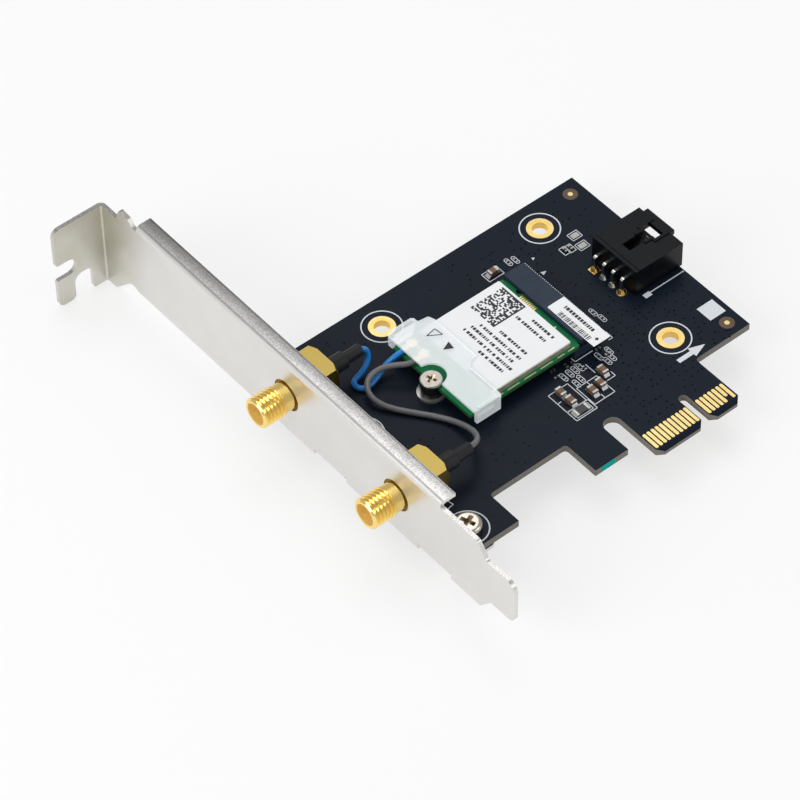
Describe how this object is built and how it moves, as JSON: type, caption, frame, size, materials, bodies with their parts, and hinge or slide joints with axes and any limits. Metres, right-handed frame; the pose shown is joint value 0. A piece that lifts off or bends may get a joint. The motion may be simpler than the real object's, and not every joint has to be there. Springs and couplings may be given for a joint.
{
  "type": "wireless network expansion card",
  "caption": "Wireless network card for a computer's expansion slot, with antenna jacks on a folded steel bracket and a radio module in a socket.",
  "frame": {"origin": "centre of the key notch at the edge that enters the slot, on the component face of the board", "axes": "+X along the board away from the bracket, +Y up the card away from the slot edge, +Z out of the component face"},
  "size_m": [0.0928, 0.12, 0.0235],
  "materials": {
    "dark_board": "satin solder mask over glass fibre",
    "contact_gold": "gold plated",
    "bracket_steel": "nickel plated",
    "screw_steel": "bright zinc",
    "jack_gold": "gold plated",
    "insulator_white": "matt",
    "sleeve_black": "matt",
    "lead_grey": "satin",
    "lead_blue": "satin",
    "plug_gold": "gold plated",
    "clear_plastic": "clear, slightly frosted",
    "green_board": "satin solder mask",
    "shield_steel": "tinned",
    "label_white": "satin",
    "socket_black": "satin",
    "solder_silver": "tinned",
    "standoff_steel": "bright",
    "header_black": "satin",
    "capacitor_brown": "matt",
    "resistor_black": "satin"
  },
  "bodies": {
    "root": {"circuit_board": "dark_board", "edge_contacts": "contact_gold", "mounting_hole_rings": "contact_gold", "bracket": "bracket_steel", "bracket_screws": "screw_steel", "antenna_jack_lower": "jack_gold", "antenna_jack_upper": "jack_gold", "jack_insulators": "insulator_white", "jack_centre_pins": "contact_gold", "lead_sleeve_lower": "sleeve_black", "lead_sleeve_upper": "sleeve_black", "grey_lead": "lead_grey", "blue_lead": "lead_blue", "lead_plugs": "plug_gold", "module_receptacles": "plug_gold", "lead_holder": "clear_plastic", "module_board": "green_board", "module_shield": "shield_steel", "module_label": "label_white", "module_socket": "socket_black", "socket_legs": "solder_silver", "socket_sticker": "label_white", "module_standoff": "standoff_steel", "module_screw": "screw_steel", "header_housing": "header_black", "header_pins": "solder_silver", "solder_joints": "solder_silver", "capacitor_bodies": "capacitor_brown", "resistor_bodies": "resistor_black", "chip_ends": "solder_silver"}
  },
  "joints": []
}
